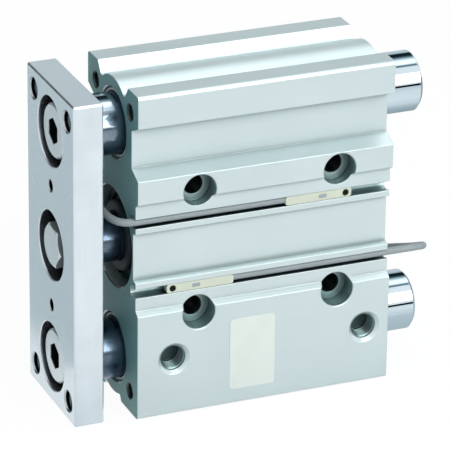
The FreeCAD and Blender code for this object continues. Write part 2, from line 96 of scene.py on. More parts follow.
def startMaterial(name):
    material = bpy.data.materials.new(name)
    material.use_nodes = True
    return material, material.node_tree, material.node_tree.nodes["Principled BSDF"]


def add(tree, kind, inputs=None, **settings):  # a node with its settings, and a value or link per socket
    made = tree.nodes.new("ShaderNode" + kind)
    for name, value in settings.items():
        setattr(made, name, value)
    for socket, value in (inputs or {}).items():
        if isinstance(value, bpy.types.NodeSocket):
            tree.links.new(value, made.inputs[socket])
        else:
            made.inputs[socket].default_value = value
    return made


def connect(tree, shader, colour, rough, normal):
    tree.links.new(colour, shader.inputs["Base Color"])
    tree.links.new(rough, shader.inputs["Roughness"])
    tree.links.new(normal, shader.inputs["Normal"])


def compute(tree, operation, first, second=0.0):
    return add(tree, "Math", {0: first, 1: second}, operation=operation).outputs["Value"]


def times(tree, first, second):
    return compute(tree, "MULTIPLY", first, second)


def opposite(tree, mask):
    return compute(tree, "SUBTRACT", 1.0, mask)


def between(tree, value, low, high):
    return times(tree, compute(tree, "GREATER_THAN", value, low), compute(tree, "LESS_THAN", value, high))


def mixValues(tree, factor, first, second):
    return add(tree, "Mix", {"Factor": factor, "A": first, "B": second}).outputs["Result"]


def spread(tree, value, low, high, start=0.3, end=0.7):  # start..end of the value to low..high, clamped
    inputs = {"Value": value, "From Min": start, "From Max": end, "To Min": low, "To Max": high}
    return add(tree, "MapRange", inputs).outputs["Result"]


def uneven(tree, pattern, look):  # roughness that follows a pattern
    smoother, rougher = look["unevenness"]
    return spread(tree, pattern, look["roughness"] - smoother, look["roughness"] + rougher)


def objectPoint(tree, scale=(1, 1, 1), offset=(0, 0, 0)):
    where = add(tree, "TexCoord").outputs["Object"]
    return add(tree, "Mapping", {"Vector": where, "Location": offset, "Scale": scale}).outputs["Vector"]


def alongAxis(tree, axis, start=0.0):  # how far past the start a point lies along the axis
    offset = [-start if name == axis else 0.0 for name in "XYZ"]
    return add(tree, "SeparateXYZ", {"Vector": objectPoint(tree, offset=offset)}).outputs[axis]


def grain(tree, size, stretch=(1, 1, 1), detail=3.0):  # size: width of one fleck, in metres
    point = objectPoint(tree, [1 / (size * s) for s in stretch])
    return add(tree, "TexNoise", {"Vector": point, "Scale": 1.0, "Detail": detail}).outputs["Fac"]


def blendColours(tree, factor, first, second):
    inputs = {"Factor": factor, 6: first, 7: second}
    return add(tree, "Mix", inputs, data_type="RGBA").outputs[2]


def tint(colour, amount):
    return tuple(min(1.0, channel * amount) for channel in colour[:3]) + (1.0,)


def cloudy(tree, pattern, look):  # the colour, mottled between two tints of itself
    darker, lighter = look["cloudTints"]
    return blendColours(
        tree, spread(tree, pattern, 0.0, 1.0), tint(look["colour"], darker), tint(look["colour"], lighter))


def relief(tree, height, depth, normal):  # depth in metres
    inputs = {"Height": height, "Distance": depth, "Strength": 1.0, "Normal": normal}
    return add(tree, "Bump", inputs).outputs["Normal"]


def softEdges(tree, radius):  # rounds sharp edges in the shading only
    return add(tree, "Bevel", {"Radius": radius}, samples=6).outputs["Normal"]


def edgeMask(tree, radius):  # 1 on a sharp edge, 0 on a flat face
    rounded = softEdges(tree, radius)
    flat = add(tree, "NewGeometry").outputs["Normal"]
    along = add(tree, "VectorMath", {0: rounded, 1: flat}, operation="DOT_PRODUCT").outputs["Value"]
    return spread(tree, along, 1.0, 0.0, 0.80, 0.995)


def facingSize(tree, axis):  # how squarely the face looks along that axis, either way
    parts = add(tree, "SeparateXYZ", {"Vector": add(tree, "NewGeometry").outputs["Normal"]})
    return compute(tree, "ABSOLUTE", parts.outputs[axis])


def facing(tree, axis):  # 1 where the face looks along that axis, give or take 25 degrees
    return compute(tree, "GREATER_THAN", facingSize(tree, axis), 0.9)


def holeWall(tree):  # 1 on the round walls of holes bored along Y, 0 on what is square to an axis
    across = facingSize(tree, "X")
    level = compute(tree, "LESS_THAN", facingSize(tree, "Y"), 0.3)
    return times(tree, between(tree, across, 0.004, 0.995), level)


# sets where shade is painted in the materials
def openness(tree, reach, limits, local):  # 0 deep in a hole or groove, 1 in the open
    seen = add(tree, "AmbientOcclusion", {"Distance": reach}, samples=8, only_local=local).outputs["AO"]
    return spread(tree, seen, 0.0, 1.0, *limits)


def ringDistance(tree, across=0.0, up=0.0):  # distance from the axes that lie so far from the bore's axis
    side = compute(tree, "SUBTRACT", compute(tree, "ABSOLUTE", alongAxis(tree, "Y")), across)
    height = compute(tree, "SUBTRACT", compute(tree, "ABSOLUTE", alongAxis(tree, "Z", pistonZ)), up)
    total = compute(tree, "ADD", compute(tree, "POWER", side, 2.0), compute(tree, "POWER", height, 2.0))
    return compute(tree, "SQRT", total)


# Metal finishes

bodyFinish = {
    "colour": (0.600, 0.690, 0.700, 1),
    "cloudTints": (0.965, 1.03),
    "drawnTint": 1.06,
    "edgeTint": 1.3,
    "edgeShare": 0.5,
    # painted shade: both cut ends are painted dark teal, partly the sawn ends' own duller tone, mostly the
    # shade in the gap behind the plate
    "shadedEndColour": (0.170, 0.335, 0.335, 1),
    # painted shade: the round walls of the bored holes are painted darker teal
    "shadedBoreColour": (0.290, 0.450, 0.455, 1),
    "boreShadeShare": 0.9,
    # painted shade: grooves fade to this dark teal, and cut faces to near black, where little open space is
    # seen
    "grooveShadeColour": (0.110, 0.205, 0.205, 1),
    "deepShadeColour": (0.003, 0.008, 0.009, 1),
    "markShare": 0.45,
    # painted shade: the plain cross holes and front taps are painted near black
    "holeShadeShare": 0.85,
    "metallic": 0.62,
    "endMetallic": 0.25,
    "roughness": 0.36,
    "unevenness": (0.05, 0.05),
    "endRougher": 0.20,
    "drawnLine": (0.5 * mm, (60, 1, 1)),  # width, and how far it is stretched along each axis
    "sawLine": (0.9 * mm, (1, 1, 40)),
    "toolMark": (0.45 * mm, (400, 1, 400)),
    "blastGrain": 0.12 * mm,
    "cloud": 30 * mm,
    "blastDepth": 0.010 * mm,
    "lineDepth": 0.006 * mm,
    "markDepth": 0.030 * mm,
    "edge": 0.30 * mm,
    "reach": 8 * mm,
    "open": (0.28, 0.86),
    "darkBelow": 7.2 * mm,  # the plain holes behind the counterbores
    "tapMouth": 3.3 * mm,
    "slotDepth": (0.4 * mm, 6 * mm),
    # painted shadow of the leads and sensors in their slots
    "leadShadowReach": 3 * mm,  # how near a lead or sensor has to lie to darken its slot
    "leadShadowOpen": (0.40, 0.85),
}


# painted shade: marks the holes that are painted near black
def holeShadeMask(tree, look, bored, ends):  # 1 in the plain cross holes and the front taps
    below = compute(tree, "GREATER_THAN", alongAxis(tree, "Y", bodyLow.y), look["darkBelow"])
    tapped = compute(tree, "LESS_THAN", ringDistance(tree, *frontTaps), look["tapMouth"])
    return compute(tree, "MAXIMUM", times(tree, bored, below), compute(tree, "SUBTRACT", tapped, ends))


# painted shadow: marks where the slot is painted dark under a lead or sensor
def leadShadowMask(tree, look, bored, ends):  # 1 in a sensor slot close to its lead or sensor
    slot = between(tree, alongAxis(tree, "Y", bodyLow.y), *look["slotDepth"])
    slot = times(tree, slot, opposite(tree, compute(tree, "MAXIMUM", bored, ends)))
    covered = opposite(tree, openness(tree, look["leadShadowReach"], look["leadShadowOpen"], local=False))
    return times(tree, covered, slot)


def anodisedMaterial(look):
    material, tree, shader = startMaterial("paleBlueAnodised")
    lines = grain(tree, *look["drawnLine"])
    blast = grain(tree, look["blastGrain"], detail=2.0)
    cloud = grain(tree, look["cloud"], detail=4.0)
    saw = grain(tree, *look["sawLine"])
    turns = grain(tree, *look["toolMark"], detail=4.0)
    ends = facing(tree, "X")
    bored = holeWall(tree)
    edges = edgeMask(tree, look["edge"])
    marks = times(tree, spread(tree, turns, 0.0, 1.0, 0.4, 0.6), bored)
    colour = cloudy(tree, cloud, look)
    drawn = tint(look["colour"], look["drawnTint"])
    colour = blendColours(tree, spread(tree, lines, 0.0, 0.35), colour, drawn)
    # painted shade on the faces that look along X
    colour = blendColours(tree, ends, colour, look["shadedEndColour"])
    # edges painted lighter: partly worn thin anodising, partly a painted highlight
    wornAndGlintEdge = tint(look["colour"], look["edgeTint"])
    colour = blendColours(tree, times(tree, edges, look["edgeShare"]), colour, wornAndGlintEdge)
    # painted shade on the walls of the bored holes
    colour = blendColours(tree, times(tree, bored, look["boreShadeShare"]), colour, look["shadedBoreColour"])
    colour = blendColours(tree, times(tree, marks, look["markShare"]), colour, look["deepShadeColour"])
    # painted shade in grooves, holes and recesses, by how open each point is
    cut = compute(tree, "MAXIMUM", bored, ends)
    shaded = blendColours(tree, cut, look["grooveShadeColour"], look["deepShadeColour"])
    colour = blendColours(tree, openness(tree, look["reach"], look["open"], local=True), shaded, colour)
    # painted shade deep in the holes
    inside = times(tree, holeShadeMask(tree, look, bored, ends), look["holeShadeShare"])
    colour = blendColours(tree, inside, colour, look["deepShadeColour"])
    # painted shadow under the leads and sensors
    colour = blendColours(tree, leadShadowMask(tree, look, bored, ends), colour, look["deepShadeColour"])
    rough = compute(tree, "ADD", uneven(tree, lines, look), times(tree, ends, look["endRougher"]))
    normal = relief(tree, blast, look["blastDepth"], softEdges(tree, look["edge"]))
    normal = relief(tree, mixValues(tree, ends, lines, saw), look["lineDepth"], normal)
    normal = relief(tree, marks, look["markDepth"], normal)
    connect(tree, shader, colour, rough, normal)
    metallic = spread(tree, ends, look["metallic"], look["endMetallic"], 0.0, 1.0)
    tree.links.new(metallic, shader.inputs["Metallic"])
    return material


plateFinish = {
    "colour": (0.75, 0.82, 0.87, 1),
    "cloudTints": (0.95, 1.03),
    "groundTint": 1.1,
    # painted shade: faces that look along X are painted darker than the sides
    "shadedFaceColour": (0.645, 0.750, 0.810, 1),
    "faceShadeShare": 0.9,
    # painted shade in the counterbores and holes
    "deepShadeColour": (0.004, 0.009, 0.012, 1),
    "metallic": 0.85,
    "roughness": 0.22,
    "unevenness": (0.04, 0.06),
    "groundLine": (0.35 * mm, (1, 1, 50)),
    "cloud": 9 * mm,
    "depth": 0.004 * mm,
    "edge": 0.36 * mm,
    "reach": 13 * mm,
    "open": (0.60, 0.94),
}


def nickelMaterial(look):
    material, tree, shader = startMaterial("groundNickelPlate")
    lines = grain(tree, *look["groundLine"])
    cloud = grain(tree, look["cloud"], detail=2.0)
    colour = cloudy(tree, cloud, look)
    ground = tint(look["colour"], look["groundTint"])
    colour = blendColours(tree, spread(tree, lines, 0.0, 0.3), colour, ground)
    # painted shade on the front and back faces
    colour = blendColours(tree, times(tree, facing(tree, "X"), look["faceShadeShare"]), colour, look["shadedFaceColour"])
    # painted shade in the plate's hollows
    shade = openness(tree, look["reach"], look["open"], local=True)
    colour = blendColours(tree, shade, look["deepShadeColour"], colour)
    normal = relief(tree, lines, look["depth"], softEdges(tree, look["edge"]))
    normal = relief(tree, cloud, look["depth"], normal)
    connect(tree, shader, colour, uneven(tree, cloud, look), normal)
    shader.inputs["Metallic"].default_value = look["metallic"]
    return material


chromeFinish = {
    "colour": (0.69, 0.80, 0.87, 1),
    "cloudTints": (0.96, 1.03),
    # painted shade: the front half of each rod goes this dark navy near other pieces
    "deepShadeColour": (0.080, 0.120, 0.180, 1),
    "roughness": 0.045,
    "unevenness": (0.015, 0.015),
    "deepRoughness": 0.24,
    "honeLine": (0.20 * mm, (1, 40, 40)),
    "honeDepth": 0.0008 * mm,
    "smear": (6 * mm, (3, 1, 1)),
    "edge": 0.15 * mm,
    "reach": 24 * mm,
    "open": (0.46, 0.80),
}


# painted shade in the gap behind the plate
def chromeMaterial(look):  # only the front half darkens near other pieces, in the gap behind the plate
    material, tree, shader = startMaterial("hardChromeRod")
    hone = grain(tree, *look["honeLine"])
    smear = grain(tree, *look["smear"], detail=4.0)
    rear = compute(tree, "GREATER_THAN", alongAxis(tree, "X"), 0.0)
    # painted shade on the front half only
    shade = compute(tree, "MAXIMUM", openness(tree, look["reach"], look["open"], local=False), rear)
    colour = blendColours(tree, shade, look["deepShadeColour"], cloudy(tree, smear, look))
    rough = mixValues(tree, shade, look["deepRoughness"], uneven(tree, smear, look))
    normal = relief(tree, hone, look["honeDepth"], softEdges(tree, look["edge"]))
    connect(tree, shader, colour, rough, normal)
    shader.inputs["Metallic"].default_value = 1.0
    return material


turnedGrain = {  # shared by all turned metal, unless a finish has its own
    "cloudTints": (0.94, 1.06),
    "fleckTint": 0.85,
    "edgeTint": 1.5,
    "edgeShare": 0.5,
    # painted shade: turned parts fade to this share of their colour near other pieces
    "shadeTint": 0.02,
    "unevenness": (0.05, 0.08),
    "fleck": 0.25 * mm,
    "cloud": 5 * mm,
    "depth": 0.004 * mm,
    "edge": 0.2 * mm,
    "reach": 5 * mm,
    "open": (0.25, 0.85),
    # painted shade: the bolt's hexagon socket is painted near black
    "socket": (0.35 * mm, 4.8 * mm),  # below the head's face, and out to the hexagon's corners
}
turnedFinishes = {
    "zincBolt": {
        "colour": (0.68, 0.77, 0.80), "metallic": 0.70, "roughness": 0.30, "line": 0.35 * mm,
        "open": (0.25, 0.62),
    },
    # painted shade: thread colours are darkened to the shade seen in the tapped holes and ports
    "shadedAnodisedThread": {
        "colour": (0.050, 0.095, 0.095), "metallic": 0.5, "roughness": 0.35, "line": 0.25 * mm,
    },
    "shadedCutThread": {"colour": (0.16, 0.24, 0.245), "metallic": 0.85, "roughness": 0.25, "line": 0.25 * mm},
    # painted shade: the covers deep in the bores are painted dark, the head cover near black
    "shadedTurnedCover": {"colour": (0.18, 0.24, 0.24), "metallic": 0.60, "roughness": 0.34, "line": 0.30 * mm},
    "shadowBlackCover": {"colour": (0.010, 0.020, 0.022), "metallic": 0.10, "roughness": 0.60, "line": 0.30 * mm},
    "phosphatedSpring": {
        "colour": (0.035, 0.036, 0.038), "metallic": 0.6, "roughness": 0.45, "line": 0.6 * mm,
    },
    "blackOxide": {"colour": (0.009, 0.010, 0.010), "metallic": 0.7, "roughness": 0.38, "line": 0.3 * mm},
    "sinteredBronze": {"colour": (0.46, 0.30, 0.13), "metallic": 0.85, "roughness": 0.42, "line": 0.4 * mm},
}


def ringLines(tree, spacing, up):  # turned face: fine rings about the axis
    turns = times(tree, ringDistance(tree, up=up), math.tau / spacing)
    return spread(tree, compute(tree, "SINE", turns), 0.0, 1.0, -1.0, 1.0)


def socketShadeMask(tree, look, headFace, up):  # 1 inside the hexagon socket of a bolt
    depth, corner = look["socket"]
    below = compute(tree, "GREATER_THAN", alongAxis(tree, "X", headFace), depth)
    return times(tree, below, compute(tree, "LESS_THAN", ringDistance(tree, up=up), corner))


def turnedMaterial(name, finish, up=0.0, headFace=None):
    look = {**turnedGrain, **finish}
    material, tree, shader = startMaterial(name)
    rings = ringLines(tree, look["line"], up)
    flecks = grain(tree, look["fleck"], detail=4.0)
    cloud = grain(tree, look["cloud"], detail=4.0)
    edges = edgeMask(tree, look["edge"])
    deep = tint(look["colour"], look["shadeTint"])
    colour = cloudy(tree, cloud, look)
    flecked = tint(look["colour"], look["fleckTint"])
    colour = blendColours(tree, spread(tree, flecks, 0.0, 0.4), colour, flecked)
    # edges painted lighter: partly wear, partly a painted highlight
    wornAndGlintEdge = tint(look["colour"], look["edgeTint"])
    colour = blendColours(tree, times(tree, edges, look["edgeShare"]), colour, wornAndGlintEdge)
    # painted shade near other pieces and in hollows
    colour = blendColours(tree, openness(tree, look["reach"], look["open"], local=False), deep, colour)
    if headFace is not None:
        # painted shade in the hexagon socket
        colour = blendColours(tree, socketShadeMask(tree, look, headFace, up), colour, deep)
    normal = relief(tree, rings, look["depth"], softEdges(tree, look["edge"]))
    normal = relief(tree, flecks, look["depth"], normal)
    connect(tree, shader, colour, uneven(tree, flecks, look), normal)
    shader.inputs["Metallic"].default_value = look["metallic"]
    return material


# Plastics and rubbers

plasticGrain = {  # shared by all of them
    "cloudTints": (0.975, 1.02),
    "fleckTint": 0.88,
    "unevenness": (0.05, 0.07),
    "cloud": 7 * mm,
    "edge": 0.15 * mm,
}
plasticFinishes = {  # colour, roughness, width and height of a fleck
    "ivoryHousing": ((0.560, 0.605, 0.500), 0.48, 0.15 * mm, 0.008 * mm),
    "leadJacket": ((0.265, 0.310, 0.325), 0.50, 0.30 * mm, 0.010 * mm),
    "labelFilm": ((0.65, 0.705, 0.665), 0.36, 0.50 * mm, 0.003 * mm),
    "windowResin": ((0.30, 0.36, 0.39), 0.15, 0.60 * mm, 0.003 * mm),
    "tinnedCore": ((0.62, 0.63, 0.62), 0.30, 0.20 * mm, 0.010 * mm),
    "wiperPlastic": ((0.62, 0.66, 0.62), 0.50, 0.20 * mm, 0.006 * mm),
    "blackRubber": ((0.018, 0.018, 0.019), 0.62, 0.25 * mm, 0.010 * mm),
    "amberUrethane": ((0.52, 0.30, 0.07), 0.40, 0.40 * mm, 0.006 * mm),
    "wearResin": ((0.10, 0.08, 0.06), 0.50, 0.20 * mm, 0.006 * mm),
    "magnetRubber": ((0.045, 0.042, 0.040), 0.55, 0.20 * mm, 0.008 * mm),
    "tieNylon": ((0.70, 0.71, 0.69), 0.42, 0.30 * mm, 0.006 * mm),
    "brownCore": ((0.16, 0.07, 0.03), 0.42, 0.30 * mm, 0.004 * mm),
    "blueCore": ((0.03, 0.12, 0.38), 0.42, 0.30 * mm, 0.004 * mm),
}


def plasticMaterial(name, base, roughness, fleck, depth):
    look = {**plasticGrain, "colour": base, "roughness": roughness}
    material, tree, shader = startMaterial(name)
    flecks = grain(tree, fleck)
    colour = cloudy(tree, grain(tree, look["cloud"], detail=4.0), look)
    colour = blendColours(tree, spread(tree, flecks, 0.0, 0.25), colour, tint(base, look["fleckTint"]))
    normal = relief(tree, flecks, depth, softEdges(tree, look["edge"]))
    connect(tree, shader, colour, uneven(tree, flecks, look), normal)
    return material


finishes = {
    "anodised": anodisedMaterial(bodyFinish),
    "nickel": nickelMaterial(plateFinish),
    "chrome": chromeMaterial(chromeFinish),
    "zincGuideBolt": turnedMaterial("zincGuideBolt", turnedFinishes["zincBolt"], guideOffset, boltFace),
}
for name, look in turnedFinishes.items():
    finishes[name] = turnedMaterial(name, look, up=guideOffset if name == "sinteredBronze" else 0.0)
for name, look in plasticFinishes.items():
    finishes[name] = plasticMaterial(name, *look)

nodeFinishes = {
    "anodised": ["cylinder_body", "piston"],
    # painted shade on the covers in the bores
    "shadedTurnedCover": ["rear_cover"],
    "shadowBlackCover": ["head_cover"],
    "nickel": ["end_plate"],
    "chrome": ["piston_rod", "lower_guide_rod", "upper_guide_rod"],
    "zincGuideBolt": ["guide_rod_bolts"],
    "zincBolt": ["piston_rod_bolt", "piston_nut"],
    "phosphatedSpring": ["head_retaining_ring", "rear_retaining_ring", "bearing_retaining_rings"],
    "blackOxide": ["sensor_screws"],
    "sinteredBronze": [
        "rod_bushing", "lower_front_bearing", "lower_rear_bearing",
        "upper_front_bearing", "upper_rear_bearing",
    ],
    "blackRubber": ["rod_seal", "piston_seal", "head_cover_gasket", "rear_cover_gasket"],
    "amberUrethane": ["front_bumper", "rear_bumper"],
    "wiperPlastic": ["lower_guide_wiper", "upper_guide_wiper"],
    "wearResin": ["wear_ring"],
    "magnetRubber": ["magnet_ring"],
    "ivoryHousing": ["lower_sensor", "upper_sensor"],
}
for finish, names in nodeFinishes.items():
    for name in names:
        for place in cad[name].material_slots:
            place.material = finishes[finish]
print("finishes given to the frame")


# Modelling helpers

smoothAngle = 35  # degrees between faces, past which an edge stays sharp


def startPiece(name):
    piece = bpy.context.object
    piece.name = name
    piece.data.name = name
    bpy.ops.object.transform_apply(location=True, rotation=True, scale=True)
    return piece


def pickEdges(piece, wanted):  # selects the edges whose direction passes the test, in edit mode
    bpy.ops.object.mode_set(mode="EDIT")
    bpy.ops.mesh.select_mode(type="EDGE")
    bpy.ops.mesh.select_all(action="DESELECT")
    bpy.ops.object.mode_set(mode="OBJECT")
    corners = piece.data.vertices
    for edge in piece.data.edges:
        first, second = (corners[index].co for index in edge.vertices)
        edge.select = wanted((second - first).normalized())
    bpy.ops.object.mode_set(mode="EDIT")


def pickFaces(piece, wanted):  # selects the faces whose normal passes the test, in edit mode
    bpy.ops.object.mode_set(mode="EDIT")
    bpy.ops.mesh.select_mode(type="FACE")
    bpy.ops.mesh.select_all(action="DESELECT")
    bpy.ops.object.mode_set(mode="OBJECT")
    for face in piece.data.polygons:
        face.select = wanted(face.normal)
    bpy.ops.object.mode_set(mode="EDIT")


def finishPiece(piece, material, body):
    bpy.ops.object.mode_set(mode="OBJECT")
    bpy.ops.object.shade_smooth_by_angle(angle=math.radians(smoothAngle))
    piece.data.materials.append(finishes[material])
    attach(piece, body)
    bpy.ops.object.select_all(action="DESELECT")
    return piece


# Sensor leads: straight out of the sensor, along its groove, round the body, and the rest in a tied coil

leadSize = {
    "length": 0.5,
    "diameter": 2.5 * mm,
    "coilInner": 12.75 * mm,
    "coilOuter": 15.25 * mm,
    "coilStep": 15,  # degrees from point to point round the coil
}

lowerLeadLook = {
    "route": [
        (-7.7, -18.5, 43.65), (46.8, -18.5, 43.65), (61.8, -18.5, 43.65), (63.8, -2, 35.7), (62.8, 20, 26.5),
        (57.8, 42, 13.4), (48.8, 57.5, 4.9), (36.8, 65.25, 1.25), (22.8, 65.25, 1.25),
    ],
    "coilCentre": (22.8, 50),
    "turning": 1,
    "lastSweep": 334,
    "mirrored": False,  # its hook behind the body would look like a hole in the guide rod
    "replaces": ("lower_sensor_lead", "lower_lead_coil"),
}
upperLeadLook = {
    "route": [
        (10.0, -18.5, 67.65), (-34.2, -18.5, 67.65), (-47.2, -18.5, 67.65), (-47.2, -1, 68), (-47.7, 20, 67),
        (-43.2, 37, 57), (-46.2, 50, 35), (-43.2, 58.5, 12), (-31.2, 65.25, 1.25), (-17.2, 65.25, 1.25),
    ],
    "coilCentre": (-17.2, 50),
    "turning": -1,
    "lastSweep": 299,
    "mirrored": True,
    "replaces": ("upper_sensor_lead", "upper_lead_coil"),
}
coreLook = {
    "radius": 0.5 * mm,
    "tipRadius": 0.32 * mm,
    "length": 12 * mm,
    "tipLength": 4 * mm,
    "hidden": (1.0 * mm, 0.8 * mm),  # how far a core starts inside the jacket, and its tip inside the core
    "apart": (0.558 * mm, 0.868 * mm),  # from the jacket's middle line, at its end and once settled
    "settle": 5 * mm,  # the core sinks to the turn below over this length
    "colours": {"brown": 1, "blue": -1},  # which side of the jacket each core comes out on
}
tieLook = {
    "sweep": 140,  # degrees round the coil from where the lead joins it
    "width": 3.0 * mm,
    "high": (0.55 * mm, 5.1 * mm),
    "across": (11.4 * mm, 16.6 * mm),
    "thickness": 0.5 * mm,
    "corner": 1.1 * mm,
    "lock": (3.4 * mm, 3.8 * mm, 2.0 * mm),
    "lockSunk": 0.2 * mm,
    "tail": (1.8 * mm, 6.0 * mm, 0.5 * mm),
    "tailPlace": (-1.0 * mm, 3.4 * mm, 0.9 * mm),  # from the strap's middle and top
    "blockCorner": 0.22,  # share of a block's least side
}


def aroundCoil(look, sweep, far, height):  # a point sweep degrees on from where the lead joins its coil
    turn = math.radians(90 + look["turning"] * sweep)
    x = look["coilCentre"][0] * mm + far * math.cos(turn)
    y = look["coilCentre"][1] * mm + far * math.sin(turn)
    return x, y, height


def coilStages(look):  # sweep of each stage, and the radius and height it ends at
    inner, outer = leadSize["coilInner"], leadSize["coilOuter"]
    low, high = leadSize["diameter"] / 2, leadSize["diameter"] * 1.5
    return [
        (310, outer, low), (50, inner, low), (250, inner, low), (45, inner, high),
        (265, inner, high), (45, outer, high), (look["lastSweep"], outer, high),
    ]


def coilPoints(look):
    points = []
    swept, radius, height = 0.0, leadSize["coilOuter"], leadSize["diameter"] / 2
    for sweep, nextRadius, nextHeight in coilStages(look):
        steps = max(3, round(sweep / leadSize["coilStep"]))
        for step in range(1, steps + 1):
            share = step / steps
            far = radius + (nextRadius - radius) * share
            rise = height + (nextHeight - height) * share
            points.append(aroundCoil(look, swept + sweep * share, far, rise))
        swept, radius, height = swept + sweep, nextRadius, nextHeight
    return points


def addTube(name, points, radius, material):
    curve = bpy.data.curves.new(name, "CURVE")
    curve.dimensions = "3D"
    curve.bevel_depth = radius
    curve.bevel_resolution = 4
    curve.resolution_u = 6
    curve.use_fill_caps = True
    spline = curve.splines.new("NURBS")
    spline.points.add(len(points) - 1)
    for point, place in zip(spline.points, points):
        point.co = (*place, 1)
    spline.order_u = 3
    spline.use_endpoint_u = True
    curve.materials.append(finishes[material])
    tube = bpy.data.objects.new(name, curve)
    bpy.context.scene.collection.objects.link(tube)
    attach(tube, "cylinder")
    return tube


def corePoints(look, side, start, length, count):  # start is how far past the end of the jacket
    swept = sum(stage[0] for stage in coilStages(look))
    outer, top = leadSize["coilOuter"], leadSize["diameter"] * 1.5
    rest = leadSize["diameter"] + coreLook["radius"]
    near, wide = coreLook["apart"]
    points = []
    for step in range(count):
        along = start + step * length / (count - 1)
        settled = min(1.0, max(0.0, along / coreLook["settle"]))
        far = outer + side * (near + (wide - near) * settled)
        height = top + (rest - top) * settled
        points.append(aroundCoil(look, swept + math.degrees(along / outer), far, height))
    return points


def addCores(name, look):  # two insulated cores that come out of the cut jacket, with tinned ends
    reach, tipReach = coreLook["length"], coreLook["tipLength"]
    inJacket, inCore = coreLook["hidden"]
    made = []
    for colour, side in coreLook["colours"].items():
        core = corePoints(look, side, -inJacket, reach + inJacket, 8)
        tip = corePoints(look, side, reach - inCore, tipReach + inCore, 4)
        made.append(addTube(f"{name}{colour.capitalize()}Core", core, coreLook["radius"], f"{colour}Core"))
        made.append(addTube(f"{name}{colour.capitalize()}Tip", tip, coreLook["tipRadius"], "tinnedCore"))
    return made


def addTie(name, look):  # a strap round the four turns, with its lock and the cut end of its tail on top
    inner, outer = tieLook["across"]
    low, high = tieLook["high"]
    middle = (inner + outer) / 2
    bpy.ops.mesh.primitive_cube_add(
        size=1, location=(middle, 0, (low + high) / 2), scale=(outer - inner, tieLook["width"], high - low))
    tie = startPiece(name)
    pickFaces(tie, lambda normal: abs(normal.y) > 0.9)
    bpy.ops.mesh.delete(type="FACE")
    pickEdges(tie, lambda line: abs(line.y) > 0.9)
    bpy.ops.mesh.bevel(offset=tieLook["corner"], segments=5)
    bpy.ops.object.mode_set(mode="OBJECT")
    strap = tie.modifiers.new("strap", "SOLIDIFY")
    strap.thickness = tieLook["thickness"]
    strap.offset = 1.0
    bpy.ops.object.modifier_apply(modifier="strap")
    top = high + tieLook["thickness"]
    aside, along, above = tieLook["tailPlace"]
    blocks = [
        (tieLook["lock"], (middle, 0, top + tieLook["lock"][2] / 2 - tieLook["lockSunk"])),
        (tieLook["tail"], (middle + aside, along, top + above)),
    ]
    parts = [tie]
    for size, place in blocks:
        bpy.ops.object.select_all(action="DESELECT")
        bpy.ops.mesh.primitive_cube_add(size=1, location=place, scale=size)
        block = startPiece(name + "Part")
        bpy.ops.object.mode_set(mode="EDIT")
        bpy.ops.mesh.bevel(offset=min(size) * tieLook["blockCorner"], segments=3)
        bpy.ops.object.mode_set(mode="OBJECT")
        parts.append(block)
    bpy.ops.object.select_all(action="DESELECT")
    for part in parts:
        part.select_set(True)
    bpy.context.view_layer.objects.active = tie
    bpy.ops.object.join()
    turn = math.radians(90 + look["turning"] * tieLook["sweep"])
    centre = (look["coilCentre"][0] * mm, look["coilCentre"][1] * mm, 0)
    tie.data.transform(Matrix.Translation(centre) @ Matrix.Rotation(turn, 4, "Z"))
    return finishPiece(tie, "tieNylon", "cylinder")


def addLead(name, look):
    route = [tuple(part * mm for part in place) for place in look["route"]]
    lead = addTube(name, route + coilPoints(look), leadSize["diameter"] / 2, "leadJacket")
    lead.visible_glossy = look["mirrored"]
    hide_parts(*look["replaces"])
    pieces = addCores(name, look) + [addTie(name + "Tie", look)]


addLead("lowerLead", lowerLeadLook)
addLead("upperLead", upperLeadLook)
print("leads laid and tied")


# Threads: one ridge wound up the wall of each tapped hole

def tapPlaces(face, taps, turn):
    across, up = taps
    return [((face, y, pistonZ + z), turn) for y in (-across, across) for z in (-up, up)]


bodyTap = {
    "pitch": 1.0 * mm, "radius": 2.5 * mm, "turns": 10, "depth": 0.25 * mm, "start": 1.05 * mm,
    "body": "cylinder", "slot": "anodised_body", "finish": "shadedAnodisedThread",
}
ports = [mounts[name]["pos_m"] for name in ("front_port", "rear_port")]
threadSteps = 28  # round one turn
threadLooks = {  # each place is the mouth's centre, and degrees from +X about Z to the way the hole runs
    "plateThread": {
        "pitch": 1.25 * mm, "radius": 3.4 * mm, "turns": 6, "depth": 0.30 * mm, "start": 1.15 * mm,
        "body": "slide", "slot": "nickel_plate", "finish": "shadedCutThread",
        "places": tapPlaces(plateFront, frontTaps, 0),
    },
    "frontThread": {**bodyTap, "places": tapPlaces(bodyLow.x, frontTaps, 0)},
    "rearThread": {**bodyTap, "places": tapPlaces(bodyHigh.x, rearTaps, 180)},
    "portThread": {
        "pitch": 0.907 * mm, "radius": 4.3 * mm, "turns": 6, "depth": 0.28 * mm, "start": 1.65 * mm,
        "body": "cylinder", "slot": "anodised_body", "finish": "shadedCutThread",
        "places": [((port[0], bodyLow.y, port[2]), 90) for port in ports],
    },
}


